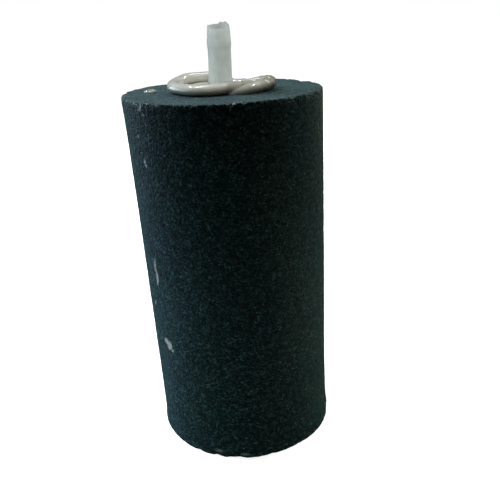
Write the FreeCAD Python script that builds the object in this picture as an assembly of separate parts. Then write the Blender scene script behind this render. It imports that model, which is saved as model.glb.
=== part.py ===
import FreeCAD, Part

import math
import os

# A cylindrical air stone: a blind-cored block of bonded grit, a barbed hose nozzle set
# in the mouth of the core with adhesive, and a bead of sealant run round the nozzle's foot.
# All sizes are in millimetres. The origin is the centre of the flat base, and +Z runs up
# the axis to the nozzle. -Y is the side where the sealant bead is widest from the nozzle.

# Bonded grit block
STONE_DIAMETER = 50.0
STONE_HEIGHT = 96.0
TOP_EDGE_RADIUS = 0.6
BASE_EDGE_RADIUS = 1.0

# Core hole left by a tapered moulding pin, which is the air chamber below the nozzle
CORE_MOUTH_DIAMETER = 9.6
CORE_END_DIAMETER = 8.4
CORE_DEPTH = 80.0

# Nozzle, with heights measured up from the stone's top face
NOZZLE_HEIGHT = 16.0
AIRWAY_DIAMETER = 2.4
TIP_DIAMETER = 5.2
TIP_TRIM_ANGLE = 19.0
BARB_DIAMETER = 6.0
BARB_TOP = 11.9
BARB_BOTTOM = 10.4
BARB_UNDERCUT = 0.35
SHANK_DIAMETER = 5.65
FOOT_DIAMETER = 6.5
FOOT_TOP = 2.0
FOOT_TAPER = 1.3
BARREL_DIAMETER = 7.2
BARREL_TOP = -1.5
BARREL_BOTTOM = -13.5
BARREL_LEAD_IN = 0.8
RIB_DIAMETER = 8.6
RIB_THICKNESS = 1.0
RIB_PITCH = 3.4
RIB_COUNT = 3
FIRST_RIB_BOTTOM = -4.2

# Adhesive between the barrel and the core hole
ADHESIVE_DEPTH = 12.4

# Sealant: a pool round the nozzle's foot inside a closed rope
ROPE_CENTRE_X = -0.4
ROPE_CENTRE_Y = 0.2
ROPE_HALF_LENGTH = 11.5
ROPE_HALF_BREADTH = 7.4
ROPE_WIDTH = 4.7
POOL_DEPTH = 1.3
# (angle round the rope in degrees from +X, height of the rope's crown there)
ROPE_CROWNS = (
    (0, 2.8),
    (30, 2.6),
    (60, 2.1),
    (90, 2.6),
    (120, 3.9),
    (150, 3.9),
    (180, 3.0),
    (210, 2.4),
    (240, 2.3),
    (270, 2.3),
    (300, 2.3),
    (330, 2.5),
)

# Stray drip of sealant on the top face, which dried as two round lobes run together
DRIP_X = -19.0
DRIP_LOBES_Y = (4.4, 6.3)
DRIP_DIAMETER = 3.6
DRIP_HEIGHT = 0.7

TOP = STONE_HEIGHT
UP = FreeCAD.Vector(0, 0, 1)


def at(x, y, z):
    return FreeCAD.Vector(x, y, z)


def cylinder(diameter, bottom, top):
    """A cylinder on the part's axis between two heights above the stone's top face."""
    return Part.makeCylinder(diameter / 2, top - bottom, at(0, 0, TOP + bottom), UP)


def cone(bottom_diameter, top_diameter, bottom, top):
    """A cone on the part's axis between two heights above the stone's top face."""
    base = at(0, 0, TOP + bottom)
    return Part.makeCone(bottom_diameter / 2, top_diameter / 2, top - bottom, base, UP)


def core_diameter(depth):
    """The core hole's diameter at a depth below the stone's top face."""
    taper = CORE_MOUTH_DIAMETER - CORE_END_DIAMETER
    return CORE_MOUTH_DIAMETER - taper * depth / (CORE_DEPTH - CORE_END_DIAMETER / 2)


def core_hole():
    """The space the moulding pin leaves: a slight taper with a round nose."""
    nose = CORE_END_DIAMETER / 2
    straight = CORE_DEPTH - nose
    pin = cone(CORE_END_DIAMETER, CORE_MOUTH_DIAMETER, -straight, 0)
    return pin.fuse(Part.makeSphere(nose, at(0, 0, TOP - straight)))


def rim(shape, height):
    """The outer circular edge of a solid at one height."""
    return [
        edge
        for edge in shape.Edges
        if isinstance(edge.Curve, Part.Circle)
        and abs(edge.Curve.Center.z - height) < 1e-6
    ]


def stone_body():
    block = Part.makeCylinder(STONE_DIAMETER / 2, STONE_HEIGHT)
    block = block.makeFillet(TOP_EDGE_RADIUS, rim(block, STONE_HEIGHT))
    block = block.makeFillet(BASE_EDGE_RADIUS, rim(block, 0))
    return block.cut(core_hole())


def nozzle_outside():
    """The nozzle as a solid bar: barb, shank and foot above the stone, ribbed barrel below."""
    barrel_end = BARREL_BOTTOM + BARREL_LEAD_IN
    taper_end = FOOT_TOP + FOOT_TAPER
    undercut_end = BARB_BOTTOM - BARB_UNDERCUT
    lead_in_diameter = BARREL_DIAMETER - 2 * BARREL_LEAD_IN
    pieces = [
        cone(lead_in_diameter, BARREL_DIAMETER, BARREL_BOTTOM, barrel_end),
        cylinder(BARREL_DIAMETER, barrel_end, BARREL_TOP),
        cylinder(FOOT_DIAMETER, BARREL_TOP, FOOT_TOP),
        cone(FOOT_DIAMETER, SHANK_DIAMETER, FOOT_TOP, taper_end),
        cylinder(SHANK_DIAMETER, taper_end, undercut_end),
        cone(SHANK_DIAMETER, BARB_DIAMETER, undercut_end, BARB_BOTTOM),
        cylinder(BARB_DIAMETER, BARB_BOTTOM, BARB_TOP),
        cone(BARB_DIAMETER, TIP_DIAMETER, BARB_TOP, NOZZLE_HEIGHT),
    ]
    for number in range(RIB_COUNT):
        bottom = FIRST_RIB_BOTTOM - number * RIB_PITCH
        pieces.append(cylinder(RIB_DIAMETER, bottom, bottom + RIB_THICKNESS))
    return pieces[0].multiFuse(pieces[1:]).removeSplitter()


def tip_trim():
    """The half space above the slanting cut where the moulding gate was trimmed off."""
    size = 4 * TIP_DIAMETER
    block = Part.makeBox(size, size, size, at(-size / 2, -size / 2, 0))
    block.rotate(at(0, 0, 0), at(1, 0, 0), TIP_TRIM_ANGLE)
    lift = TIP_DIAMETER / 2 * math.tan(math.radians(TIP_TRIM_ANGLE))
    block.translate(at(0, 0, TOP + NOZZLE_HEIGHT - lift))
    return block


def inlet_nozzle():
    bar = nozzle_outside()
    airway = cylinder(AIRWAY_DIAMETER, BARREL_BOTTOM - 1, NOZZLE_HEIGHT + 1)
    return bar.cut(airway).cut(tip_trim())


def adhesive_fill():
    """The cured adhesive that fills the gap between the barrel and the core hole."""
    plug = cone(core_diameter(ADHESIVE_DEPTH), CORE_MOUTH_DIAMETER, -ADHESIVE_DEPTH, 0)
    return plug.cut(nozzle_outside())


def rope_section(angle, crown):
    """A closed D-shaped wire across the rope: flat on the stone, domed on top."""
    turn = math.radians(angle)
    along_x = math.cos(turn)
    along_y = math.sin(turn)
    centre = at(
        ROPE_CENTRE_X + ROPE_HALF_LENGTH * along_x,
        ROPE_CENTRE_Y + ROPE_HALF_BREADTH * along_y,
        TOP,
    )
    outward = at(ROPE_HALF_BREADTH * along_x, ROPE_HALF_LENGTH * along_y, 0).normalize()
    dome = []
    steps = 8
    for step in range(steps + 1):
        lift = math.pi * step / steps
        offset = FreeCAD.Vector(outward).multiply(ROPE_WIDTH / 2 * math.cos(lift))
        dome.append(centre + offset + at(0, 0, crown * math.sin(lift)))
    curve = Part.BSplineCurve()
    curve.interpolate(Points=dome, InitialTangent=UP, FinalTangent=at(0, 0, -1))
    flat = Part.LineSegment(dome[-1], dome[0])
    return Part.Wire([curve.toShape(), flat.toShape()])


def sealant_bead():
    sections = [rope_section(angle, crown) for angle, crown in ROPE_CROWNS]
    rope = Part.makeLoft(sections, True, False, True)
    centre = at(ROPE_CENTRE_X, ROPE_CENTRE_Y, TOP)
    outline = Part.Ellipse(centre, ROPE_HALF_LENGTH, ROPE_HALF_BREADTH)
    pool = Part.Face(Part.Wire(outline.toShape())).extrude(at(0, 0, POOL_DEPTH))
    return rope.fuse(pool).cut(nozzle_outside())


def drip_lobe(y):
    """A low round cap of sealant lying on the stone's top face."""
    half = DRIP_DIAMETER / 2
    radius = (half**2 + DRIP_HEIGHT**2) / (2 * DRIP_HEIGHT)
    ball = Part.makeSphere(radius, at(DRIP_X, y, TOP + DRIP_HEIGHT - radius))
    corner = at(DRIP_X - radius, y - radius, TOP)
    return ball.common(Part.makeBox(2 * radius, 2 * radius, 2 * radius, corner))


def sealant_drip():
    lobes = [drip_lobe(y) for y in DRIP_LOBES_Y]
    return lobes[0].fuse(lobes[1:])


PARTS = {
    "stone_body": stone_body,
    "inlet_nozzle": inlet_nozzle,
    "adhesive_fill": adhesive_fill,
    "sealant_bead": sealant_bead,
    "sealant_drip": sealant_drip,
}


def main():
    os.makedirs("parts", exist_ok=True)
    for name, make in PARTS.items():
        shape = make()
        shape.exportStep(f"parts/{name}.step")
        print(
            f"{name}: {len(shape.Solids)} solid, valid {shape.isValid()}, "
            f"{shape.Volume:.1f} mm3, box {shape.BoundBox}"
        )


main()
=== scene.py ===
import itertools
import math

import bmesh
import bpy
import numpy as np
from mathutils import Matrix, Vector
from mathutils.geometry import delaunay_2d_cdt


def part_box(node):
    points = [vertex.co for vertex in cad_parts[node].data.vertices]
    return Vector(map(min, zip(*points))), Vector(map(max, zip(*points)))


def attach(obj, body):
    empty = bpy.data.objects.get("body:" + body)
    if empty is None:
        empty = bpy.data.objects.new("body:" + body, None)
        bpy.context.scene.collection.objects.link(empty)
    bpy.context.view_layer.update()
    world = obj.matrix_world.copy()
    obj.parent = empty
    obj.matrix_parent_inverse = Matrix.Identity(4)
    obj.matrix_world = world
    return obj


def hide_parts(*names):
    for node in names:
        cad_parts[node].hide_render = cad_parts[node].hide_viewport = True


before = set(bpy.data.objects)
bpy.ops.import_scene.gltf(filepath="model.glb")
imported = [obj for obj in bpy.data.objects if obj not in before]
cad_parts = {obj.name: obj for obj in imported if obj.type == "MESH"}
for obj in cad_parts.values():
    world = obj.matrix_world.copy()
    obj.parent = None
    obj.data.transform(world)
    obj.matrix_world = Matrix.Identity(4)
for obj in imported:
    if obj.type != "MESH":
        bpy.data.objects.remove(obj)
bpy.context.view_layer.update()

# The looks of a bonded grit air stone: the stone's grain, its chips and pale marks, the
# milky nozzle with its trimmed tip, and the glossy rope of sealant round the nozzle's foot.
# Sizes are in metres unless a table says mm, in the CAD frame: +Z up the axis and -Y towards
# the camera.

MM = 0.001
STONE_LOW, STONE_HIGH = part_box("stone_body")
NOZZLE_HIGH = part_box("inlet_nozzle")[1]
DRIP_LOW, DRIP_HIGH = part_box("sealant_drip")
RADIUS = (STONE_HIGH.x - STONE_LOW.x) / 2
TOP = STONE_HIGH.z

# Stone: the radii of its two rounded edges, the rows of points round each, and the spacing of
# the points that make its grain
TOP_EDGE = 0.35 * MM
BASE_EDGE = 0.25 * MM
TOP_EDGE_ROWS = 3
BASE_EDGE_ROWS = 5
GRIT = 0.47 * MM
BASE_GRIT = 0.75 * MM

# Core hole: its radius at the mouth and at the end, its depth, and the points round it
CORE_MOUTH = 4.8 * MM
CORE_END = 4.2 * MM
CORE_DEPTH = 80.0 * MM
CORE_COLUMNS = 60
CORE_ROWS = 30
CORE_NOSE_ROWS = 7

# The top's rise towards +X per unit of length, how far its middle sits low and its rim stands
# proud, and the depth below the top within which that dishing fades
TOP_LEAN = -0.014
MIDDLE_DIP = 0.20 * MM
RIM_RISE = 0.58 * MM
DISH_FADE = 12 * MM

# How far the wall swells out at the top left and all round the foot, and the height over
# which each swelling fades
LEFT_FLARE = 0.35 * MM
LEFT_FLARE_FADE = 9 * MM
FOOT_FLARE = 0.40 * MM
FOOT_FLARE_FADE = 1.5 * MM

# The further swelling of the foot where the mould was slack: angles in degrees from -Y to +X
BULGE = 0.8 * MM
BULGE_ANGLE = 54.0
BULGE_SPREAD = 26.0
BULGE_HEIGHT = 6.0 * MM

# The wall's unevenness, from fine to broad: (size of a bump, height, random seed)
UNEVENNESS = (
    (0.8 * MM, 0.03 * MM, 1),
    (2.1 * MM, 0.03 * MM, 2),
    (7.0 * MM, 0.05 * MM, 3),
    (24.0 * MM, 0.10 * MM, 4),
)
# How far the grain's points are shaken out of their rows on the wall and on the flat faces, as a
# share of their spacing, and how near they come to the edge of a flat face
GRAIN_SHAKE = 0.26
FACE_SHAKE = 0.28
EDGE_GAP = 0.7
# How far a grain stands in or out, how deep a pore is, the share of the points that are pores,
# how far in the whole surface sits, and how much less rough the base is
GRAIN_HEIGHT = 0.045 * MM
PORE_DEPTH = 0.10 * MM
PORE_SHARE = 0.035
SHRINK = 0.05 * MM
BASE_SMOOTHNESS = 0.45

# Camera, with its turns in radians
CAMERA_AT = (0.0, -142.8 * MM, 112.8 * MM)
CAMERA_YAW = 0.030
CAMERA_PITCH = 0.403
CAMERA_ROLL = 0.0625
LENS = 39.43
SENSOR = 36.0


# ---------------------------------------------------------------- noise

def lattice_values(cells, seed):
    """A fixed random number from -1 to 1 for each row of whole numbers."""
    mixed = cells[:, 0] * 73856093 ^ cells[:, 1] * 19349663 ^ cells[:, 2] * 83492791
    mixed = (mixed ^ seed * 2654435761) & 0xFFFFFFFF
    mixed = (mixed ^ mixed >> 15) * 2246822519 & 0xFFFFFFFF
    mixed = (mixed ^ mixed >> 13) * 3266489917 & 0xFFFFFFFF
    mixed = mixed ^ mixed >> 16
    return mixed / 0x7FFFFFFF - 1.0


def noise(points, size, seed):
    """Smooth noise from -1 to 1 at each point, with bumps about one size across."""
    scaled = np.asarray(points) / size + 1000.0
    cells = np.floor(scaled).astype(np.int64)
    part = scaled - cells
    part = part * part * (3 - 2 * part)
    total = np.zeros(len(scaled))
    for corner in itertools.product((0, 1), repeat=3):
        weight = np.prod(np.where(corner, part, 1 - part), axis=1)
        total += weight * lattice_values(cells + np.array(corner), seed)
    return total


# ---------------------------------------------------------------- mesh helpers

def make_object(name, vertices, faces, smooth=True):
    mesh = bpy.data.meshes.new(name)
    mesh.from_pydata(np.asarray(vertices).tolist(), [], np.asarray(faces).tolist())
    mesh.update()
    if smooth:
        mesh.polygons.foreach_set("use_smooth", [True] * len(mesh.polygons))
    thing = bpy.data.objects.new(name, mesh)
    bpy.context.scene.collection.objects.link(thing)
    return thing


def ring_triangles(rows, columns, first=0):
    """Triangles that join rings of equal counts, each odd ring turned half a step."""
    faces = []
    j = np.arange(columns)
    after = (j + 1) % columns
    for i in range(rows - 1):
        low = first + i * columns
        high = low + columns
        if i % 2 == 0:
            faces.append(np.stack([low + j, low + after, high + j], 1))
            faces.append(np.stack([high + j, low + after, high + after], 1))
        else:
            faces.append(np.stack([low + j, high + after, high + j], 1))
            faces.append(np.stack([low + j, low + after, high + after], 1))
    return np.concatenate(faces)


# ---------------------------------------------------------------- stone

def wall_profile():
    """(radius, height) pairs up the stone's wall, evenly spaced, with both edges rounded."""
    points = []
    for step in range(BASE_EDGE_ROWS):
        angle = math.pi / 2 * step / BASE_EDGE_ROWS
        radius = RADIUS - BASE_EDGE * (1 - math.sin(angle))
        points.append((radius, BASE_EDGE * (1 - math.cos(angle))))
    rows = round((TOP - TOP_EDGE - BASE_EDGE) / (GRIT * math.sqrt(3) / 2))
    for height in np.linspace(BASE_EDGE, TOP - TOP_EDGE, rows + 1):
        points.append((RADIUS, height))
    for step in range(1, TOP_EDGE_ROWS + 1):
        angle = math.pi / 2 * step / TOP_EDGE_ROWS
        radius = RADIUS - TOP_EDGE * (1 - math.cos(angle))
        points.append((radius, TOP - TOP_EDGE * (1 - math.sin(angle))))
    return points


def lean_top(points):
    """The top was moulded a little out of square: heights grow towards -X, more so higher up."""
    share = np.clip(points[:, 2] / TOP, 0, None)
    points[:, 2] += TOP_LEAN * points[:, 0] * share
    return points


def dish_top(points):
    """The top is slightly dished: its middle sits low and its rim stands proud."""
    share = np.clip(np.hypot(points[:, 0], points[:, 1]) / RADIUS, 0, 1)
    near_top = np.exp((points[:, 2] - TOP) / DISH_FADE)
    points[:, 2] += (RIM_RISE * share**4 - MIDDLE_DIP) * near_top
    return points


def fill_disc(rim, hole, spacing, seed):
    """Extra points and triangles that fill a flat outline, less an optional hole.

    The rim and the hole are (N, 2) arrays. Triangles count from the rim's first point, then
    the hole's, then the extra points."""
    rng = np.random.default_rng(seed)
    reach = np.linalg.norm(rim, axis=1).min() - EDGE_GAP * spacing
    inside = np.linalg.norm(hole, axis=1).max() + EDGE_GAP * spacing if len(hole) else 0.0
    row_step = spacing * math.sqrt(3) / 2
    count = int(reach / row_step)
    extra = []
    for row in range(-count, count + 1):
        shift = 0.5 * spacing * (row % 2)
        xs = np.arange(-reach, reach, spacing) + shift
        extra.append(np.stack([xs, np.full(len(xs), row * row_step)], 1))
    extra = np.concatenate(extra)
    extra += rng.uniform(-FACE_SHAKE, FACE_SHAKE, extra.shape) * spacing
    far = np.linalg.norm(extra, axis=1)
    extra = extra[(far < reach) & (far > inside)]
    points = np.concatenate([rim, hole, extra]) if len(hole) else np.concatenate([rim, extra])
    loops = [[(i, (i + 1) % len(rim)) for i in range(len(rim))]]
    if len(hole):
        start = len(rim)
        loops.append([(start + i, start + (i + 1) % len(hole)) for i in range(len(hole))])
    edges = [edge for loop in loops for edge in loop]
    scale = 1 / spacing
    found = delaunay_2d_cdt([Vector(p) for p in points * scale], edges, [], 0, 1e-6, True)
    faces = np.array([face for face in found[2] if len(face) == 3])
    back = np.array([ids[0] for ids in found[3]])
    faces = back[faces]
    if len(hole):
        faces = faces[~(np.all((faces >= len(rim)) & (faces < len(rim) + len(hole)), axis=1))]
    return extra, faces


# Pale smears and specks of sealant and dust on the wall, from -Y round towards +X:
# (angle in degrees, height, half length up, half width round, lean in degrees, strength)
MARKS = (
    (-56.0, 55.3 * MM, 1.9 * MM, 0.42 * MM, 8, 0.80),
    (-55.2, 51.8 * MM, 2.0 * MM, 0.48 * MM, 6, 1.0),
    (-63.5, 43.3 * MM, 0.9 * MM, 0.35 * MM, 20, 0.75),
    (-54.6, 33.0 * MM, 0.8 * MM, 1.1 * MM, -20, 0.95),
    (-51.5, 32.0 * MM, 1.3 * MM, 0.9 * MM, 35, 1.0),
    (-48.9, 31.0 * MM, 0.6 * MM, 0.5 * MM, 0, 0.8),
    (-51.3, 82.6 * MM, 0.65 * MM, 0.35 * MM, 25, 0.95),
    (-50.3, 81.6 * MM, 0.55 * MM, 0.30 * MM, -20, 0.85),
    (-54.4, 88.3 * MM, 0.45 * MM, 0.32 * MM, 0, 0.6),
    (-48.6, 94.7 * MM, 0.8 * MM, 0.35 * MM, 25, 0.75),
    (-46.6, 93.4 * MM, 0.5 * MM, 0.35 * MM, 0, 0.6),
    (-45.6, 91.3 * MM, 0.4 * MM, 0.3 * MM, 0, 0.5),
    (-58.0, 76.5 * MM, 0.4 * MM, 0.3 * MM, 0, 0.45),
    (22.6, 29.3 * MM, 0.4 * MM, 0.3 * MM, 0, 0.4),
    (1.7, 95.6 * MM, 0.45 * MM, 0.35 * MM, 30, 0.85),
    (4.6, 95.9 * MM, 0.35 * MM, 0.65 * MM, 20, 0.75),
    (3.0, 94.6 * MM, 0.35 * MM, 0.30 * MM, 0, 0.80),
    (9.4, 96.0 * MM, 0.25 * MM, 0.40 * MM, 0, 0.50),
    (39.0, 95.4 * MM, 0.4 * MM, 1.2 * MM, 0, 0.4),
    (-20.5, 1.9 * MM, 0.7 * MM, 1.4 * MM, 0, 0.45),
    (-3.0, 1.3 * MM, 0.5 * MM, 1.2 * MM, 0, 0.5),
    (-3.7, 3.4 * MM, 0.4 * MM, 0.3 * MM, 0, 0.6),
    (-1.4, 6.6 * MM, 0.5 * MM, 0.25 * MM, 0, 0.5),
    (128.0, 71.0 * MM, 1.2 * MM, 0.5 * MM, -30, 0.5),
    (171.0, 22.0 * MM, 0.8 * MM, 0.9 * MM, 10, 0.6),
    (-139.0, 40.0 * MM, 0.5 * MM, 0.4 * MM, 0, 0.5),
    (84.0, 12.0 * MM, 0.5 * MM, 0.8 * MM, 0, 0.5),
)

# Bites out of the two worn edges: (angle in degrees from -Y, at the top, reach, depth)
CHIPS = (
    (2.5, True, 1.7 * MM, 0.8 * MM),
    (-11.0, True, 1.2 * MM, 0.45 * MM),
    (9.5, True, 0.9 * MM, 0.4 * MM),
    (38.0, True, 1.5 * MM, 0.5 * MM),
    (52.0, True, 1.0 * MM, 0.4 * MM),
    (-52.0, True, 1.1 * MM, 0.35 * MM),
    (118.0, True, 1.6 * MM, 0.6 * MM),
    (-150.0, True, 1.3 * MM, 0.5 * MM),
    (-21.0, False, 1.2 * MM, 0.50 * MM),
    (-12.0, False, 0.9 * MM, 0.35 * MM),
    (-7.0, False, 1.6 * MM, 0.40 * MM),
    (-34.0, False, 0.9 * MM, 0.30 * MM),
    (14.0, False, 1.0 * MM, 0.25 * MM),
    (75.0, False, 1.6 * MM, 0.5 * MM),
    (160.0, False, 2.2 * MM, 0.8 * MM),
    (-120.0, False, 1.5 * MM, 0.6 * MM),
)


# How deep the edges are rubbed, at the top with more added towards -Y, and how far from the
# edge the rubbing reaches
TOP_WEAR = 0.12 * MM
FRONT_WEAR = 0.26 * MM
BASE_WEAR = 0.08 * MM
WEAR_REACH = 0.8 * MM


def wear_depth(points):
    """How far the two worn edges are rubbed and bitten away at each point."""
    radius = np.hypot(points[:, 0], points[:, 1])
    depth = np.zeros(len(points))
    rough = 0.5 + 0.5 * noise(points, 1.5 * MM, 31)
    fine = 0.5 + 0.5 * noise(points, 0.7 * MM, 32)
    front = 0.5 - 0.5 * points[:, 1] / RADIUS
    for height, most in ((TOP, TOP_WEAR + FRONT_WEAR * front), (0.0, BASE_WEAR)):
        far = np.hypot(radius - RADIUS, points[:, 2] - height)
        depth += most * np.exp(-((far / WEAR_REACH) ** 2)) * rough * (0.5 + fine)
    for angle, at_top, reach, most in CHIPS:
        turn = math.radians(angle)
        corner = np.array([RADIUS * math.sin(turn), -RADIUS * math.cos(turn), TOP if at_top else 0])
        far = np.linalg.norm(points - corner, axis=1) * (1 + 0.35 * (rough - 0.5))
        depth += most * np.exp(-((far / reach) ** 2)) * (0.6 + 0.6 * fine)
    return depth


def pale_marks(points):
    """From 0 to 1, how much of each point is under a pale smear."""
    angle = np.degrees(np.arctan2(points[:, 0], -points[:, 1]))
    pale = np.zeros(len(points))
    for at, height, half_up, half_round, lean, strength in MARKS:
        across = np.radians((angle - at + 180) % 360 - 180) * RADIUS
        up = points[:, 2] - height
        turn = math.radians(lean)
        along = up * math.cos(turn) + across * math.sin(turn)
        aside = across * math.cos(turn) - up * math.sin(turn)
        far = np.hypot(along / half_up, aside / half_round)
        pale = np.maximum(pale, strength * np.clip(1.6 - far, 0, 1))
    on_wall = np.hypot(points[:, 0], points[:, 1]) > RADIUS * 0.93
    return pale * on_wall


def swelling(points):
    """How far the wall swells: all round the foot, more where the mould was slack, and top left."""
    angle = np.degrees(np.arctan2(points[:, 0], -points[:, 1]))
    round_wall = np.exp(-(((angle - BULGE_ANGLE) / BULGE_SPREAD) ** 2))
    bulge = BULGE * round_wall * np.exp(-points[:, 2] / BULGE_HEIGHT)
    foot = FOOT_FLARE * np.exp(-points[:, 2] / FOOT_FLARE_FADE)
    left = np.clip(-points[:, 0] / RADIUS, 0, 1)
    return bulge + foot + LEFT_FLARE * left * np.exp((points[:, 2] - TOP) / LEFT_FLARE_FADE)


def roughen(points, normals, flat):
    """Moves each point along its normal: grains, pores, unevenness and worn edges.

    flat is 1 on the base, which is smoother, and 0 elsewhere."""
    rng = np.random.default_rng(5)
    grain = rng.uniform(-1, 1, len(points))
    pore = rng.uniform(0, 1, len(points))
    lift = GRAIN_HEIGHT * grain
    for size, height, seed in UNEVENNESS:
        lift += height * noise(points, size, seed)
    lift -= PORE_DEPTH * (pore > 1 - PORE_SHARE)
    lift -= SHRINK
    lift *= 1 - BASE_SMOOTHNESS * flat
    lift -= wear_depth(points)
    moved = points + normals * lift[:, None]
    radius = np.hypot(points[:, 0], points[:, 1])
    swell = swelling(points) * np.clip(radius / RADIUS - 0.5, 0, None) * 2
    moved[:, :2] += points[:, :2] / np.maximum(radius, MM)[:, None] * swell[:, None]
    return moved


def core_wall():
    """The blind core hole's rings of points, from its mouth down to its round nose."""
    rings = []
    straight = CORE_DEPTH - CORE_END
    for depth in np.linspace(0, straight, CORE_ROWS):
        rings.append((CORE_MOUTH + (CORE_END - CORE_MOUTH) * depth / straight, TOP - depth))
    for step in range(1, CORE_NOSE_ROWS):
        angle = math.pi / 2 * step / CORE_NOSE_ROWS
        height = TOP - straight - CORE_END * math.sin(angle)
        rings.append((CORE_END * math.cos(angle), height))
    points = []
    for row, (radius, height) in enumerate(rings):
        angles = 2 * math.pi * (np.arange(CORE_COLUMNS) + 0.5 * (row % 2)) / CORE_COLUMNS
        ring = [radius * np.cos(angles), radius * np.sin(angles), np.full(len(angles), height)]
        points.append(np.stack(ring, 1))
    return np.concatenate(points), len(rings)


def wall_rise(height):
    """The upward part of the wall's normal at a height: 0 except on the two rounded edges."""
    if height < BASE_EDGE:
        return (height - BASE_EDGE) / BASE_EDGE
    if height > TOP - TOP_EDGE:
        return (height - TOP + TOP_EDGE) / TOP_EDGE
    return 0.0


def stone_wall(profile, columns):
    """The wall's points, shaken so that no grid shows, and its normals, from the base up."""
    rng = np.random.default_rng(3)
    wall = []
    normals = []
    for row, (radius, height) in enumerate(profile):
        rise = wall_rise(height)
        shake = 0.0 if row in (0, len(profile) - 1) else GRAIN_SHAKE
        angles = 2 * math.pi * (np.arange(columns) + 0.5 * (row % 2)) / columns
        angles = angles + rng.uniform(-shake, shake, columns) * GRIT / RADIUS
        heights = height + rng.uniform(-shake, shake, columns) * GRIT * (rise == 0.0)
        wall.append(np.stack([radius * np.cos(angles), radius * np.sin(angles), heights], 1))
        out = math.sqrt(max(0.0, 1 - rise * rise))
        normal = [out * np.cos(angles), out * np.sin(angles), np.full(columns, rise)]
        normals.append(np.stack(normal, 1))
    return np.concatenate(wall), np.concatenate(normals)


def renumber(triangles, *runs):
    """A disc's triangles, turned from its own point numbers into the stone's runs of them."""
    return np.concatenate([np.arange(first, last) for first, last in runs])[triangles]


def nose_fan(last_ring, nose):
    """The triangles that close the core hole's last ring on its nose point."""
    j = np.arange(CORE_COLUMNS)
    after = (j + 1) % CORE_COLUMNS
    return np.stack([last_ring + j, last_ring + after, np.full(CORE_COLUMNS, nose)], 1)


def make_stone():
    columns = round(2 * math.pi * RADIUS / GRIT)
    profile = wall_profile()
    wall, wall_normals = stone_wall(profile, columns)
    core, core_rows = core_wall()
    top, top_faces = fill_disc(wall[-columns:, :2], core[:CORE_COLUMNS, :2], GRIT, 11)
    base, base_faces = fill_disc(wall[:columns, :2], np.zeros((0, 2)), BASE_GRIT, 12)

    core_start = len(wall)
    mouth_end = core_start + CORE_COLUMNS
    top_start = core_start + len(core)
    base_start = top_start + len(top)
    nose = base_start + len(base)
    rim = (core_start - columns, core_start)
    faces = np.concatenate([
        ring_triangles(len(profile), columns),
        renumber(top_faces, rim, (core_start, mouth_end), (top_start, base_start)),
        renumber(base_faces, (0, columns), (base_start, nose))[:, ::-1],
        ring_triangles(core_rows, CORE_COLUMNS, core_start),
        nose_fan(core_start + (core_rows - 1) * CORE_COLUMNS, nose),
    ])
    points = np.concatenate([
        wall,
        core,
        np.column_stack([top, np.full(len(top), TOP)]),
        np.column_stack([base, np.zeros(len(base))]),
        np.array([[0, 0, TOP - CORE_DEPTH]]),
    ])
    normals = np.concatenate([
        wall_normals,
        np.zeros((len(core), 3)),
        np.tile([0.0, 0.0, 1.0], (len(top), 1)),
        np.tile([0.0, 0.0, -1.0], (len(base), 1)),
        np.zeros((1, 3)),
    ])
    flat = np.zeros(len(points))
    flat[base_start:nose] = 1.0
    moved = lean_top(dish_top(roughen(points, normals, flat)))
    moved[:, 2] = np.maximum(moved[:, 2], 0.0)
    stone = make_object("grit_stone", moved, faces)
    attribute = stone.data.attributes.new("pale", "FLOAT", "POINT")
    attribute.data.foreach_set("value", pale_marks(points).astype(np.float32))
    return stone


# ---------------------------------------------------------------- nozzle

# (radius, height above the stone's top) up the outside of the nozzle, in mm
NOZZLE_PROFILE = (
    (2.8, -13.5),
    (3.6, -12.7),
    (3.6, -11.0),
    (4.3, -10.98),
    (4.3, -10.02),
    (3.6, -10.0),
    (3.6, -7.6),
    (4.3, -7.58),
    (4.3, -6.62),
    (3.6, -6.6),
    (3.6, -4.2),
    (4.3, -4.18),
    (4.3, -3.22),
    (3.6, -3.2),
    (3.6, -1.5),
    (3.25, -1.48),
    (3.25, 1.5),
    (3.12, 2.3),
    (2.96, 3.2),
    (2.88, 4.2),
    (2.88, 9.8),
    (2.90, 10.1),
    (2.98, 10.4),
    (2.98, 10.9),
    (2.97, 11.6),
    (2.90, 12.0),
    (2.80, 13.0),
    (2.62, 16.0),
)
# Also in mm: the barrel's top, above which the rings of points are close, and their spacing
BARREL_TOP = -1.5
NOZZLE_STEP = 0.16
NOZZLE_COLUMNS = 112

# The airway's radius, its smaller radius where the trimming pinched it, and how far down from
# the lip it takes to open out
AIRWAY = 1.2 * MM
PINCHED_AIRWAY = 0.5 * MM
PINCH_DEPTH = 2.0 * MM
AIRWAY_START = 15.5 * MM
AIRWAY_ROWS = 60
LIP_ROWS = 9

# The torn cut at the tip: its height at the middle, its slopes along Y and X, the gentler slope
# of the part behind the middle that tore lower, where that part ends along X and over what
# length, and the peak left at its corner: (x, half width, height)
TRIM_START = 12.6 * MM
TIP_MIDDLE = 15.12 * MM
TIP_SLOPE = 0.33
TIP_TILT = -0.02
TIP_LOW_SLOPE = 0.15
TEAR_END = 0.25 * MM
TEAR_BLEND = 0.10 * MM
TIP_CORNER = (1.85 * MM, 0.30 * MM, 0.30 * MM)
TORN = 0.05 * MM

# The nozzle was set by hand, off the axis and leaning towards +X
NOZZLE_SHIFT = -0.50 * MM
NOZZLE_LEAN = 0.031

# The nozzle's flow lines and its two sizes of wave: (how round a bump is, from 1 for round down
# to 0 for one drawn out up the whole nozzle, size of a bump, height, random seed)
NOZZLE_WAVES = (
    (0.12, 0.55 * MM, 0.035 * MM, 41),
    (1.0, 2.4 * MM, 0.045 * MM, 42),
    (0.5, 4.0 * MM, 0.05 * MM, 43),
)


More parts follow.
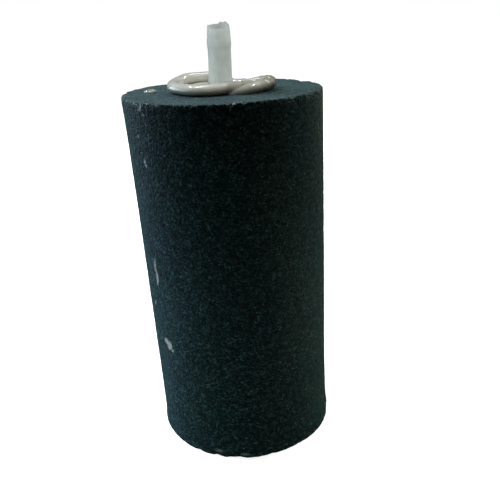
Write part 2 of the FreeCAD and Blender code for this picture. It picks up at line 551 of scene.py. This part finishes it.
def tip_height(x, y):
    """How high the torn trim cut leaves the nozzle above the stone's top at (x, y)."""
    points = np.stack([x, y, np.zeros_like(x)], 1)
    torn = TORN * noise(points, 1.3 * MM, 51) + TORN * noise(points, 0.45 * MM, 52)
    tongue = 1 / (1 + np.exp((TEAR_END - x) / TEAR_BLEND))
    slope = np.where(y < 0, TIP_SLOPE, TIP_LOW_SLOPE + (TIP_SLOPE - TIP_LOW_SLOPE) * tongue)
    corner_x, half_width, height = TIP_CORNER
    corner = height * np.exp(-(((x - corner_x) / half_width) ** 2)) * (y > 0)
    return TIP_MIDDLE + slope * y + TIP_TILT * x + corner + torn


def nozzle_rings():
    """(radius, height) pairs up the outside, over the lip and down the airway."""
    rings = []
    for (r0, z0), (r1, z1) in itertools.pairwise(NOZZLE_PROFILE):
        length = math.hypot(r1 - r0, z1 - z0)
        count = max(1, round(length / NOZZLE_STEP)) if z0 > BARREL_TOP else 1
        for k in range(count):
            rings.append(((r0 + (r1 - r0) * k / count) * MM, (z0 + (z1 - z0) * k / count) * MM))
    lip_radius, lip = (size * MM for size in NOZZLE_PROFILE[-1])
    for k in range(LIP_ROWS + 1):
        rings.append((lip_radius + (PINCHED_AIRWAY - lip_radius) * k / LIP_ROWS, lip))
    for height in np.linspace(AIRWAY_START, NOZZLE_PROFILE[0][1] * MM, AIRWAY_ROWS):
        open_part = min(1.0, (lip - height) / PINCH_DEPTH)
        rings.append((PINCHED_AIRWAY + (AIRWAY - PINCHED_AIRWAY) * open_part, height))
    return rings


def make_nozzle():
    angles = 2 * math.pi * np.arange(NOZZLE_COLUMNS) / NOZZLE_COLUMNS
    rings = nozzle_rings()
    points = []
    for radius, height in rings:
        ring = [radius * np.cos(angles), radius * np.sin(angles), np.full(NOZZLE_COLUMNS, height)]
        points.append(np.stack(ring, 1))
    points = trim_tip(np.concatenate(points))
    outside = np.hypot(points[:, 0], points[:, 1]) > 1.5 * AIRWAY
    points = rough_moulding(points, outside)
    points[:, 2] += TOP
    points = lean_top(points)
    faces = []
    j = np.arange(NOZZLE_COLUMNS)
    after = (j + 1) % NOZZLE_COLUMNS
    for i in range(len(rings)):
        low = i * NOZZLE_COLUMNS
        high = (i + 1) % len(rings) * NOZZLE_COLUMNS
        faces.append(np.stack([low + j, low + after, high + after, high + j], 1))
    return make_object("barbed_nozzle", points, np.concatenate(faces))


def trim_tip(points):
    """Squeezes everything above the trim's start so that it ends on the torn cut."""
    above = points[:, 2] > TRIM_START
    lip = NOZZLE_PROFILE[-1][1] * MM
    part = (points[above, 2] - TRIM_START) / (lip - TRIM_START)
    cut = tip_height(points[above, 0], points[above, 1])
    points[above, 2] = TRIM_START + part * (cut - TRIM_START)
    return points


def rough_moulding(points, outside):
    """Flow lines along the shank, a slightly wavy outline, and the lean of a hand-set nozzle."""
    shown = outside & (points[:, 2] > 0)
    wave = np.zeros(np.count_nonzero(shown))
    for roundness, size, height, seed in NOZZLE_WAVES:
        wave += height * noise(points[shown] * np.array([1.0, 1.0, roundness]), size, seed)
    flat = points[shown, :2]
    length = np.linalg.norm(flat, axis=1, keepdims=True)
    points[shown, :2] = flat + flat / length * wave[:, None]
    points[:, 0] += NOZZLE_SHIFT + NOZZLE_LEAN * np.clip(points[:, 2], 0, None)
    return points


# ---------------------------------------------------------------- sealant

# The rope's path from its start, tucked in beside the nozzle, along the front, left round the
# nozzle and back to the right, where it curls over and tapers off in front of its own start:
# (x, y, crown height above the stone, half width) in mm
ROPE = (
    (6.6, 3.4, 1.9, 1.5),
    (5.4, 1.0, 2.0, 1.6),
    (4.2, -1.3, 2.15, 1.65),
    (2.9, -3.5, 2.35, 1.85),
    (1.3, -5.3, 2.45, 2.2),
    (-0.8, -6.3, 2.45, 2.35),
    (-3.6, -6.8, 2.45, 2.4),
    (-6.6, -6.0, 2.45, 2.4),
    (-9.4, -3.4, 2.4, 2.3),
    (-11.5, 0.2, 2.6, 2.3),
    (-11.8, 4.2, 3.1, 2.2),
    (-9.5, 7.6, 3.8, 2.3),
    (-5.6, 8.9, 4.0, 2.4),
    (-1.4, 8.2, 3.7, 2.3),
    (2.2, 6.0, 2.4, 2.0),
    (5.6, 4.8, 2.05, 1.8),
    (8.6, 4.6, 2.4, 1.9),
    (11.0, 3.6, 2.95, 2.1),
    (11.5, 1.2, 2.9, 2.1),
    (10.9, -1.4, 2.5, 2.3),
    (8.9, -3.8, 2.25, 2.45),
    (6.6, -5.8, 2.0, 2.4),
    (4.7, -6.9, 1.35, 2.2),
    (3.0, -7.0, 0.6, 1.9),
    (1.4, -7.0, 0.2, 1.5),
)
# The rope's height as a share of its width, and how many steps join two rows of its path
ROPE_FLATTEN = 0.62
ROPE_STEPS = 8
# Where along X the rope's curl at the right starts to be wrinkled, duller and painted darker as shade,
# and where fully so
CURL_START = 7.5 * MM
CURL_FULL = 10.5 * MM
# The tapered tail is dull, and its colour is painted darker as the shade in the fold beside it: fully
# within one distance of a point, and not past another
TAIL_MIDDLE = (3.7 * MM, -7.8 * MM, TOP + 0.6 * MM)
TAIL_FULL = 2.8 * MM
TAIL_REACH = 3.8 * MM
# The sealant's broad lumps, its small ones and the curl's wrinkles: how far across they are, and
# how high the last two are as a share of the broad ones' height
BROAD_LUMP = 3.2 * MM
SMALL_LUMP = 1.5 * MM
SMALL_SHARE = 0.3
WRINKLE = 0.9 * MM
WRINKLE_SHARE = 1.8
# The fineness of the rope's skin and of the drip's
ROPE_VOXEL = 0.2 * MM
DRIP_VOXEL = 0.12 * MM


def evaluated_mesh(thing, name):
    graph = bpy.context.evaluated_depsgraph_get()
    mesh = bpy.data.meshes.new_from_object(thing.evaluated_get(graph))
    mesh.name = name
    return mesh


def smooth_path(path, steps):
    """A smooth curve through every row of the path (a Catmull-Rom spline)."""
    rows = np.array(path)
    rows = np.concatenate([2 * rows[:1] - rows[1:2], rows, 2 * rows[-1:] - rows[-2:-1]])
    t = np.arange(steps)[:, None] / steps
    pieces = []
    for a, b, c, d in zip(rows, rows[1:], rows[2:], rows[3:]):
        bend = (c - a) * t + (2 * a - 5 * b + 4 * c - d) * t**2 + (3 * b - a - 3 * c + d) * t**3
        pieces.append(b + bend / 2)
    return np.concatenate(pieces + [rows[-2:-1]])


def rope_tube(name, path):
    """A tube along a path that lies on the stone, round in section before it is flattened."""
    rows = smooth_path(path, ROPE_STEPS)
    curve = bpy.data.curves.new(name, "CURVE")
    curve.dimensions = "3D"
    curve.bevel_depth = MM
    curve.bevel_resolution = 8
    curve.use_fill_caps = True
    spline = curve.splines.new("POLY")
    spline.points.add(len(rows) - 1)
    for point, (x, y, crown, half) in zip(spline.points, rows):
        height = (crown - ROPE_FLATTEN * half) / ROPE_FLATTEN
        point.co = (x * MM, y * MM, height * MM, 1.0)
        point.radius = half
    tube = bpy.data.objects.new(name, curve)
    bpy.context.scene.collection.objects.link(tube)
    mesh = evaluated_mesh(tube, name)
    bpy.data.objects.remove(tube)
    mesh.transform(Matrix.Diagonal((1, 1, ROPE_FLATTEN, 1)))
    return mesh


def blob(x, y, z, half_x, half_y, half_z, turn=0.0):
    """A squashed ball, in mm above the stone's top, to be melted into a larger shape."""
    mesh = bmesh.new()
    bmesh.ops.create_icosphere(mesh, subdivisions=4, radius=MM)
    place = Matrix.Translation((x * MM, y * MM, z * MM)) @ Matrix.Rotation(turn, 4, "Z")
    mesh.transform(place @ Matrix.Diagonal((half_x, half_y, half_z, 1)))
    made = bpy.data.meshes.new("blob")
    mesh.to_mesh(made)
    mesh.free()
    return made


def melt(name, meshes, voxel, rounds):
    """One closed skin round several overlapping meshes, with its creases softened."""
    joined = bmesh.new()
    for mesh in meshes:
        joined.from_mesh(mesh)
    skin = bpy.data.meshes.new(name)
    joined.to_mesh(skin)
    joined.free()
    thing = bpy.data.objects.new(name, skin)
    bpy.context.scene.collection.objects.link(thing)
    remesh = thing.modifiers.new("skin", "REMESH")
    remesh.mode = "VOXEL"
    remesh.voxel_size = voxel
    soften = thing.modifiers.new("soften", "SMOOTH")
    soften.factor = 0.5
    soften.iterations = rounds
    mesh = evaluated_mesh(thing, name)
    thing.modifiers.clear()
    thing.data = mesh
    return thing


def settle(thing, sink, lumps, seed):
    """Lets a skin lie on the stone: lumpy, more so in the curl, and no lower than sink below it."""
    mesh = thing.data
    count = len(mesh.vertices)
    points = np.zeros(count * 3)
    mesh.vertices.foreach_get("co", points)
    points = points.reshape(-1, 3)
    normals = np.zeros(count * 3)
    mesh.vertices.foreach_get("normal", normals)
    normals = normals.reshape(-1, 3)
    lift = lumps * noise(points, BROAD_LUMP, seed)
    lift += SMALL_SHARE * lumps * noise(points, SMALL_LUMP, seed + 1)
    curled = np.clip((points[:, 0] - CURL_START) / (CURL_FULL - CURL_START), 0, 1)
    lift += WRINKLE_SHARE * lumps * curled * noise(points, WRINKLE, seed + 2)
    points = points + normals * lift[:, None]
    points[:, 2] = np.maximum(points[:, 2], -sink) + TOP
    points = lean_top(points)
    mesh.vertices.foreach_set("co", points.ravel())
    mesh.polygons.foreach_set("use_smooth", [True] * len(mesh.polygons))
    mesh.update()
    return thing


def make_bead():
    rope = rope_tube("rope", ROPE)
    pool = blob(-2.6, 1.2, 0.0, 9.6, 7.0, 2.05)
    foot = blob(0.0, 0.4, 0.0, 4.8, 4.6, 1.8)
    web = blob(7.2, 0.2, 0.0, 3.2, 3.2, 1.5)
    bead = melt("sealant_rope", [rope, pool, foot, web], ROPE_VOXEL, 14)
    return settle(bead, 0.5 * MM, 0.10 * MM, 61)


def make_drip():
    middle = (DRIP_LOW + DRIP_HIGH) / 2 / MM
    lobes = [
        blob(middle.x + 0.2, middle.y + 0.1, 0.0, 1.5, 2.3, 0.38),
        blob(middle.x - 0.7, middle.y - 1.1, 0.0, 0.7, 1.4, 0.52, 0.3),
        blob(middle.x + 1.1, middle.y - 0.7, 0.0, 0.7, 1.3, 0.50, -0.4),
        blob(middle.x + 0.2, middle.y + 1.5, 0.0, 1.2, 0.9, 0.46, 0.5),
    ]
    drip = melt("sealant_smear", lobes, DRIP_VOXEL, 3)
    return settle(drip, 0.2 * MM, 0.05 * MM, 71)


# ---------------------------------------------------------------- materials

# The pale dust in the stone's marks, and how much rougher the sealant is in its curl and tail
PALE_DUST = (0.40, 0.43, 0.42, 1.0)
CURL_ROUGHNESS = 0.2
TAIL_ROUGHNESS = 0.55

# The heights below which the rope and the drip are darkened, partly as the grit showing where the
# sealant thins and partly as painted shade along their foot, and their tones
ROPE_EDGE = 2.2 * MM
ROPE_TONE = (1.0, 1.0, 1.0)
DRIP_EDGE = 0.42 * MM
DRIP_TONE = (0.68, 0.79, 0.80)


def new_material(name):
    material = bpy.data.materials.new(name)
    material.use_nodes = True
    tree = material.node_tree
    shader = tree.nodes["Principled BSDF"]
    return material, tree, shader


def node(tree, kind, settings=None, **inputs):
    """A node with its settings made, and each input given as a number or a socket."""
    made = tree.nodes.new(kind)
    for key, value in (settings or {}).items():
        setattr(made, key, value)
    for key, value in inputs.items():
        socket = made.inputs[int(key[1:])] if key[0] == "i" and key[1:].isdigit() else made.inputs[key]
        if isinstance(value, bpy.types.NodeSocket):
            tree.links.new(value, socket)
        else:
            socket.default_value = value
    return made


def ramp(tree, factor, stops):
    """The colour that a factor picks from (position, colour) stops."""
    made = tree.nodes.new("ShaderNodeValToRGB")
    tree.links.new(factor, made.inputs["Fac"])
    elements = made.color_ramp.elements
    while len(elements) < len(stops):
        elements.new(0.5)
    for element, (position, colour) in zip(elements, stops):
        element.position = position
        element.color = (*colour, 1.0)
    return made.outputs["Color"]


def math_node(tree, operation, a, b):
    return node(tree, "ShaderNodeMath", {"operation": operation}, i0=a, i1=b).outputs[0]


def mix_colour(tree, factor, a, b, blend="MIX"):
    made = tree.nodes.new("ShaderNodeMix")
    made.data_type = "RGBA"
    made.blend_type = blend
    for socket, value in ((made.inputs[0], factor), (made.inputs[6], a), (made.inputs[7], b)):
        if isinstance(value, bpy.types.NodeSocket):
            tree.links.new(value, socket)
        else:
            socket.default_value = value
    return made.outputs[2]


def stone_material():
    """Blue-black grains of random shade and hue, in clumps, with pale dust over the marks."""
    material, tree, shader = new_material("blue_black_grit")
    place = node(tree, "ShaderNodeTexCoord").outputs["Object"]
    grains = node(tree, "ShaderNodeTexVoronoi", Vector=place, Scale=1 / (0.46 * MM))
    dust = node(tree, "ShaderNodeTexVoronoi", Vector=place, Scale=1 / (0.28 * MM))
    shade = node(tree, "ShaderNodeSeparateColor", i0=grains.outputs["Color"])
    dust_shade = node(tree, "ShaderNodeSeparateColor", i0=dust.outputs["Color"])
    body = ramp(tree, shade.outputs[0], (
        (0.0, (0.0006, 0.0017, 0.0020)),
        (0.38, (0.0034, 0.0092, 0.0106)),
        (0.66, (0.0138, 0.0330, 0.0366)),
        (0.92, (0.0270, 0.0570, 0.0620)),
        (1.0, (0.0440, 0.0830, 0.0880)),
    ))
    speck = ramp(tree, dust_shade.outputs[1], (
        (0.0, (0.25, 0.25, 0.25)),
        (0.5, (0.80, 0.80, 0.80)),
        (0.85, (1.45, 1.45, 1.45)),
        (1.0, (2.1, 2.1, 2.1)),
    ))
    body = mix_colour(tree, 1.0, body, speck, "MULTIPLY")
    hue = ramp(tree, shade.outputs[1], (
        (0.0, (0.80, 0.92, 1.25)),
        (0.4, (0.95, 1.00, 1.05)),
        (0.75, (0.90, 1.05, 0.88)),
        (1.0, (1.45, 1.00, 0.75)),
    ))
    body = mix_colour(tree, 1.0, body, hue, "MULTIPLY")
    drift = node(tree, "ShaderNodeTexNoise", Vector=place, Scale=1 / (14 * MM), Detail=3.0)
    tint = ramp(tree, drift.outputs["Fac"], (
        (0.3, (0.85, 0.92, 1.06)),
        (0.7, (1.10, 1.06, 0.96)),
    ))
    body = mix_colour(tree, 1.0, body, tint, "MULTIPLY")
    clumps = node(tree, "ShaderNodeTexNoise", Vector=place, Scale=1 / (1.7 * MM), Detail=2.0)
    clotted = ramp(tree, clumps.outputs["Fac"], (
        (0.36, (0.66, 0.67, 0.68)),
        (0.5, (0.97, 0.97, 0.97)),
        (0.64, (1.38, 1.36, 1.34)),
    ))
    body = mix_colour(tree, 1.0, body, clotted, "MULTIPLY")
    pale = node(tree, "ShaderNodeAttribute", {"attribute_name": "pale"}).outputs["Fac"]
    ragged = node(tree, "ShaderNodeTexNoise", Vector=place, Scale=1 / (0.5 * MM), Detail=2.0)
    edge = math_node(tree, "SUBTRACT", ragged.outputs["Fac"], 0.5)
    edge = math_node(tree, "MULTIPLY", edge, 0.9)
    cover = math_node(tree, "ADD", pale, edge)
    cover = node(tree, "ShaderNodeMapRange", i0=cover, i1=0.25, i2=0.85).outputs[0]
    seen = node(tree, "ShaderNodeMapRange", i0=pale, i1=0.02, i2=0.3).outputs[0]
    cover = math_node(tree, "MULTIPLY", cover, seen)
    body = mix_colour(tree, cover, body, PALE_DUST)
    tree.links.new(body, shader.inputs["Base Color"])
    rough = node(tree, "ShaderNodeMapRange", i0=shade.outputs[2], i3=0.55, i4=0.85)
    tree.links.new(rough.outputs[0], shader.inputs["Roughness"])
    dome = math_node(tree, "SUBTRACT", 1.0, grains.outputs["Distance"])
    bump = node(tree, "ShaderNodeBump", Strength=0.8, Distance=0.20 * MM, Height=dome)
    tree.links.new(bump.outputs[0], shader.inputs["Normal"])
    shader.inputs["Specular IOR Level"].default_value = 0.25
    shader.inputs["Specular Tint"].default_value = (0.46, 0.92, 1.0, 1.0)
    shader.inputs["Sheen Weight"].default_value = 0.06
    shader.inputs["Sheen Roughness"].default_value = 0.5
    shader.inputs["Sheen Tint"].default_value = (0.46, 0.92, 1.0, 1.0)
    return material


def nozzle_material():
    """Milky plastic with faint flow lines up its length, painted a little darker towards its foot as
    shade, and lighter towards its tip.
    """
    material, tree, shader = new_material("milky_nozzle_plastic")
    place = node(tree, "ShaderNodeTexCoord").outputs["Object"]
    drawn = node(tree, "ShaderNodeMapping", i0=place, i3=(1.0, 1.0, 0.12))
    flow = node(tree, "ShaderNodeTexNoise", Vector=drawn.outputs[0], Scale=1 / (0.7 * MM), Detail=4.0)
    cloud = node(tree, "ShaderNodeTexNoise", Vector=place, Scale=1 / (2.5 * MM), Detail=3.0)
    mixed = math_node(tree, "ADD", flow.outputs["Fac"], cloud.outputs["Fac"])
    colour = ramp(tree, math_node(tree, "MULTIPLY", mixed, 0.5), (
        (0.3, (0.57, 0.63, 0.61)),
        (0.5, (0.68, 0.735, 0.715)),
        (0.7, (0.79, 0.83, 0.815)),
    ))
    height = node(tree, "ShaderNodeSeparateXYZ", i0=place).outputs[2]
    up = node(tree, "ShaderNodeMapRange", i0=height, i1=TOP, i2=NOZZLE_HIGH.z).outputs[0]
    # Painted shade: the colour darkens towards the foot, where the sealant and the stone shade it, and
    # lightens towards the tip.
    foot_shade_and_tip_tone = ramp(tree, up, (
        (0.0, (0.78, 0.79, 0.78)),
        (0.25, (0.88, 0.885, 0.88)),
        (0.6, (1.0, 1.0, 1.0)),
        (1.0, (1.15, 1.15, 1.15)),
    ))
    colour = mix_colour(tree, 1.0, colour, foot_shade_and_tip_tone, "MULTIPLY")
    tree.links.new(colour, shader.inputs["Base Color"])
    rough = node(tree, "ShaderNodeMapRange", i0=cloud.outputs["Fac"], i3=0.3, i4=0.5)
    tree.links.new(rough.outputs[0], shader.inputs["Roughness"])
    bump = node(tree, "ShaderNodeBump", Strength=0.35, Distance=0.05 * MM, Height=flow.outputs["Fac"])
    tree.links.new(bump.outputs[0], shader.inputs["Normal"])
    shader.inputs["Subsurface Weight"].default_value = 1.0
    shader.inputs["Subsurface Radius"].default_value = (0.95, 1.0, 1.0)
    shader.inputs["Subsurface Scale"].default_value = 5.0 * MM
    return material


def sealant_material(name, edge_height, tone):
    """Glossy off-white sealant, darker low down: partly the dark grit showing through where it thins
    to its edge, partly painted shade along its foot.

    edge_height is the height above the top below which it is darkened."""
    material, tree, shader = new_material(name)
    place = node(tree, "ShaderNodeTexCoord").outputs["Object"]
    cloud = node(tree, "ShaderNodeTexNoise", Vector=place, Scale=1 / (3.0 * MM), Detail=4.0)
    colour = ramp(tree, cloud.outputs["Fac"], (
        (0.3, (0.645, 0.64, 0.575)),
        (0.55, (0.725, 0.725, 0.67)),
        (0.75, (0.765, 0.765, 0.715)),
    ))
    axes = node(tree, "ShaderNodeSeparateXYZ", i0=place).outputs
    curl = node(tree, "ShaderNodeMapRange", i0=axes[0], i1=CURL_START, i2=CURL_FULL).outputs[0]
    # Painted shade: the curl at the right is painted darker, as the side that the light reaches least.
    painted_curl_shade = ramp(tree, curl, (
        (0.3, (1.0, 1.0, 1.0)),
        (1.0, (0.61, 0.61, 0.56)),
    ))
    colour = mix_colour(tree, 1.0, colour, painted_curl_shade, "MULTIPLY")
    off = node(tree, "ShaderNodeVectorMath", {"operation": "DISTANCE"}, i0=place, i1=TAIL_MIDDLE)
    off = off.outputs["Value"]
    tail = node(tree, "ShaderNodeMapRange", i0=off, i1=TAIL_REACH, i2=TAIL_FULL).outputs[0]
    # Painted shade: the tail is painted darker, as the shadow in the fold beside it and under it.
    painted_tail_shade = ramp(tree, tail, (
        (0.0, (1.0, 1.0, 1.0)),
        (1.0, (0.70, 0.70, 0.67)),
    ))
    colour = mix_colour(tree, 1.0, colour, painted_tail_shade, "MULTIPLY")
    above = node(tree, "ShaderNodeMapRange", i0=axes[2], i1=TOP, i2=TOP + edge_height).outputs[0]
    # Darker low down near the stone: partly the grit showing where the sealant thins, partly painted
    # shade along its foot.
    grit_and_foot_shade = ramp(tree, above, (
        (0.0, (0.11, 0.115, 0.105)),
        (0.3, (0.33, 0.34, 0.31)),
        (0.6, (0.74, 0.74, 0.69)),
        (0.85, (1.0, 1.0, 1.0)),
    ))
    colour = mix_colour(tree, 1.0, colour, grit_and_foot_shade, "MULTIPLY")
    colour = mix_colour(tree, 1.0, colour, (*tone, 1.0), "MULTIPLY")
    tree.links.new(colour, shader.inputs["Base Color"])
    fine = node(tree, "ShaderNodeTexNoise", Vector=place, Scale=1 / (0.9 * MM), Detail=2.0)
    gloss = node(tree, "ShaderNodeMapRange", i0=fine.outputs["Fac"], i3=0.05, i4=0.11)
    dull = math_node(tree, "MULTIPLY", curl, CURL_ROUGHNESS)
    smear = math_node(tree, "MULTIPLY", tail, TAIL_ROUGHNESS)
    rough = math_node(tree, "ADD", gloss.outputs[0], math_node(tree, "MAXIMUM", dull, smear))
    tree.links.new(rough, shader.inputs["Roughness"])
    bump = node(tree, "ShaderNodeBump", Strength=0.08, Distance=0.1 * MM, Height=fine.outputs["Fac"])
    tree.links.new(bump.outputs[0], shader.inputs["Normal"])
    shader.inputs["Subsurface Weight"].default_value = 0.7
    shader.inputs["Subsurface Radius"].default_value = (1.0, 0.95, 0.8)
    shader.inputs["Subsurface Scale"].default_value = 1.2 * MM
    return material


def adhesive_material():
    """Cloudy beige adhesive."""
    material, tree, shader = new_material("cured_adhesive")
    place = node(tree, "ShaderNodeTexCoord").outputs["Object"]
    cloud = node(tree, "ShaderNodeTexNoise", Vector=place, Scale=1 / (2.0 * MM), Detail=3.0)
    colour = ramp(tree, cloud.outputs["Fac"], (
        (0.3, (0.42, 0.37, 0.27)),
        (0.7, (0.56, 0.51, 0.40)),
    ))
    tree.links.new(colour, shader.inputs["Base Color"])
    rough = node(tree, "ShaderNodeMapRange", i0=cloud.outputs["Fac"], i3=0.25, i4=0.45)
    tree.links.new(rough.outputs[0], shader.inputs["Roughness"])
    return material


def floor_material():
    """White paper that glows, more so further off, so that it fades into the backdrop."""
    material, tree, shader = new_material("pale_floor")
    place = node(tree, "ShaderNodeTexCoord").outputs["Object"]
    far = node(tree, "ShaderNodeVectorMath", {"operation": "LENGTH"}, i0=place).outputs["Value"]
    cloud = node(tree, "ShaderNodeTexNoise", Vector=place, Scale=6.0, Detail=2.0)
    colour = ramp(tree, cloud.outputs["Fac"], (
        (0.3, (0.84, 0.84, 0.84)),
        (0.7, (0.88, 0.88, 0.88)),
    ))
    tree.links.new(colour, shader.inputs["Base Color"])
    glow = node(tree, "ShaderNodeMapRange", i0=far, i1=0.10, i2=0.60, i3=0.90, i4=1.05)
    tree.links.new(glow.outputs[0], shader.inputs["Emission Strength"])
    shader.inputs["Emission Color"].default_value = (1.0, 1.0, 1.0, 1.0)
    shader.inputs["Roughness"].default_value = 0.9
    shader.inputs["Specular IOR Level"].default_value = 0.0
    return material


# ---------------------------------------------------------------- stage

# Half the floor's side, how far all but the low bounce lights stand from what they light, and
# the sides of the large soft lights
FLOOR = 4.0
LIGHT_DISTANCE = 0.5
WINDOW = (0.25, 0.25)


def make_floor():
    floor = make_object(
        "floor",
        [(-FLOOR, -FLOOR, 0), (FLOOR, -FLOOR, 0), (FLOOR, FLOOR, 0), (-FLOOR, FLOOR, 0)],
        [(0, 1, 2, 3)],
        smooth=False,
    )
    floor.data.materials.append(floor_material())
    floor.visible_diffuse = False
    floor.visible_glossy = False
    return floor


def add_light(name, place, target, size, power, colour, lit):
    """A soft rectangular light that the camera doesn't see, for the pieces listed in lit."""
    lamp = bpy.data.lights.new(name, "AREA")
    lamp.shape = "RECTANGLE"
    lamp.size, lamp.size_y = size
    lamp.energy = power
    lamp.color = colour
    thing = bpy.data.objects.new(name, lamp)
    bpy.context.scene.collection.objects.link(thing)
    thing.location = place
    aim = Vector(target) - Vector(place)
    thing.rotation_euler = aim.to_track_quat("-Z", "Y").to_euler()
    thing.visible_camera = False
    thing.light_linking.receiver_collection = bpy.data.collections.new(name)
    for piece in lit:
        thing.light_linking.receiver_collection.objects.link(piece)


def outward(azimuth, elevation):
    """The direction at an azimuth, from -Y towards +X, and an elevation, both in degrees."""
    turn = math.radians(azimuth)
    rise = math.radians(elevation)
    flat = math.cos(rise)
    return Vector((flat * math.sin(turn), -flat * math.cos(turn), math.sin(rise)))


# The lights round the stone's middle that light it and the floor:
# (name, azimuth from -Y towards +X and elevation in degrees, watts, colour)
STONE_LIGHTS = (
    ("left_window", -120, 40, 3.75, (0.85, 0.86, 1.0)),
    ("right_window", 120, 40, 1.12, (0.88, 1.0, 0.89)),
    ("right_wall", 145, 10, 0.30, (1.0, 0.85, 0.56)),
    ("backdrop", 180, 30, 0.25, (0.67, 1.0, 0.88)),
)
# The light that the floor throws back up at the stone's foot: (name, azimuth, watts, colour)
BOUNCES = (
    ("left_bounce", -75, 0.024, (0.55, 0.80, 1.0)),
    ("front_left_bounce", -40, 0.010, (1.0, 1.0, 0.6)),
    ("front_bounce", 0, 0.005, (0.8, 1.0, 1.0)),
    ("right_bounce", 75, 0.020, (1.0, 1.0, 0.75)),
)
BOUNCE_DISTANCE = 0.10
BOUNCE_HEIGHT = 0.012
BOUNCE_TARGET = (0, 0, 0.015)
BOUNCE_SIZE = (0.08, 0.02)
# The soft screens round the stone that light only the nozzle, and those that light only the
# sealant: (azimuth from -Y towards +X and elevation in degrees, watts, colour)
NOZZLE_SCREENS = (
    (-120, 14, 0.26, (0.84, 0.95, 1.0)),
    (-90, 14, 0.59, (0.85, 0.96, 1.0)),
    (-60, 14, 0.50, (0.87, 0.96, 1.0)),
    (-30, 14, 0.15, (0.96, 1.0, 0.97)),
    (0, 14, 0.25, (0.98, 1.0, 0.95)),
    (30, 14, 0.34, (0.98, 1.0, 0.95)),
    (60, 14, 0.42, (0.97, 1.0, 0.96)),
    (90, 14, 0.21, (0.98, 1.0, 0.96)),
    (120, 14, 0.47, (0.98, 1.0, 0.98)),
    (180, 68, 0.60, (0.94, 1.0, 0.98)),
)
SEALANT_SCREENS = (
    (-120, 14, 0.77, (0.74, 0.93, 1.0)),
    (-90, 14, 0.50, (0.42, 0.76, 1.0)),
    (0, 14, 0.42, (1.0, 0.97, 0.90)),
    (90, 14, 0.22, (0.93, 1.0, 0.93)),
)
# The bright lamps whose reflections glint on the sealant, listed the same way and with the
# lamp's width and length
SEALANT_LAMPS = (
    (-147, 48, 0.24, (1.0, 0.98, 0.98), 0.05, 0.07),
    (-131, 61, 0.24, (1.0, 0.98, 0.98), 0.05, 0.07),
    (-121, 72, 0.24, (1.0, 0.98, 0.98), 0.05, 0.07),
    (-80, 76, 0.24, (1.0, 0.98, 0.98), 0.05, 0.07),
    (-40, 79, 0.20, (1.0, 0.98, 0.98), 0.05, 0.07),
    (152, 55, 0.32, (1.0, 1.0, 0.98), 0.06, 0.06),
    (14, 68, 0.22, (1.0, 1.0, 0.95), 0.10, 0.05),
    (-174, 60, 0.40, (1.0, 1.0, 0.96), 0.12, 0.06),
)


def make_lights(stone, nozzle, bead, drip, floor):
    middle = Vector((0, 0, TOP / 2))
    for name, azimuth, elevation, power, colour in STONE_LIGHTS:
        place = middle + outward(azimuth, elevation) * LIGHT_DISTANCE
        add_light(name, place, middle, WINDOW, power, colour, (stone, floor))
    for name, azimuth, power, colour in BOUNCES:
        place = outward(azimuth, 0) * BOUNCE_DISTANCE
        place.z = BOUNCE_HEIGHT
        add_light(name, place, BOUNCE_TARGET, BOUNCE_SIZE, power, colour, (stone,))
    top = Vector((0, 0, TOP))
    sealant = (bead, drip)
    for name, rows, lit in (
        ("nozzle_screen", NOZZLE_SCREENS, (nozzle,)),
        ("sealant_screen", SEALANT_SCREENS, sealant),
    ):
        for azimuth, elevation, power, colour in rows:
            place = top + outward(azimuth, elevation) * LIGHT_DISTANCE
            add_light(name, place, top, WINDOW, power, colour, lit)
    for azimuth, elevation, power, colour, width, length in SEALANT_LAMPS:
        place = top + outward(azimuth, elevation) * LIGHT_DISTANCE
        add_light("sealant_lamp", place, top, (width, length), power, colour, sealant)


def make_world():
    """A dim room that looks like a white backdrop only where the camera sees it directly."""
    world = bpy.data.worlds.new("studio")
    bpy.context.scene.world = world
    world.use_nodes = True
    tree = world.node_tree
    tree.nodes.clear()
    around = node(tree, "ShaderNodeBackground", Color=(0.020, 0.020, 0.016, 1.0), Strength=1.0)
    behind = node(tree, "ShaderNodeBackground", Color=(1.0, 1.0, 1.0, 1.0), Strength=1.0)
    path = node(tree, "ShaderNodeLightPath")
    both = node(
        tree,
        "ShaderNodeMixShader",
        i0=path.outputs["Is Camera Ray"],
        i1=around.outputs[0],
        i2=behind.outputs[0],
    )
    node(tree, "ShaderNodeOutputWorld", Surface=both.outputs[0])


def make_camera():
    """Looks down at the stone from in front of it, turned a little to +X and rolled slightly."""
    lens = bpy.data.cameras.new("camera")
    lens.lens = LENS
    lens.sensor_width = SENSOR
    lens.clip_start = 0.005
    camera = bpy.data.objects.new("camera", lens)
    bpy.context.scene.collection.objects.link(camera)
    turn = Matrix.Rotation(-CAMERA_YAW, 4, "Z")
    tilt = Matrix.Rotation(math.pi / 2 - CAMERA_PITCH, 4, "X")
    roll = Matrix.Rotation(-CAMERA_ROLL, 4, "Z")
    camera.matrix_world = Matrix.Translation(CAMERA_AT) @ turn @ tilt @ roll
    bpy.context.scene.camera = camera


# ---------------------------------------------------------------- assembly

def dress(piece, material, replaced):
    """Gives a piece its material, hides the CAD part that it replaces, and hangs it on its body."""
    piece.data.materials.clear()
    piece.data.materials.append(material)
    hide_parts(replaced)
    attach(piece, "root")


def main():
    bpy.context.scene.view_settings.view_transform = "Standard"
    stone = make_stone()
    nozzle = make_nozzle()
    bead = make_bead()
    drip = make_drip()
    dress(stone, stone_material(), "stone_body")
    dress(nozzle, nozzle_material(), "inlet_nozzle")
    rope_finish = sealant_material("rope_sealant", ROPE_EDGE, ROPE_TONE)
    dress(bead, rope_finish, "sealant_bead")
    drip_finish = sealant_material("drip_sealant", DRIP_EDGE, DRIP_TONE)
    dress(drip, drip_finish, "sealant_drip")
    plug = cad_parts["adhesive_fill"]
    plug.data.materials.clear()
    plug.data.materials.append(adhesive_material())
    make_world()
    make_lights(stone, nozzle, bead, drip, make_floor())
    make_camera()


main()
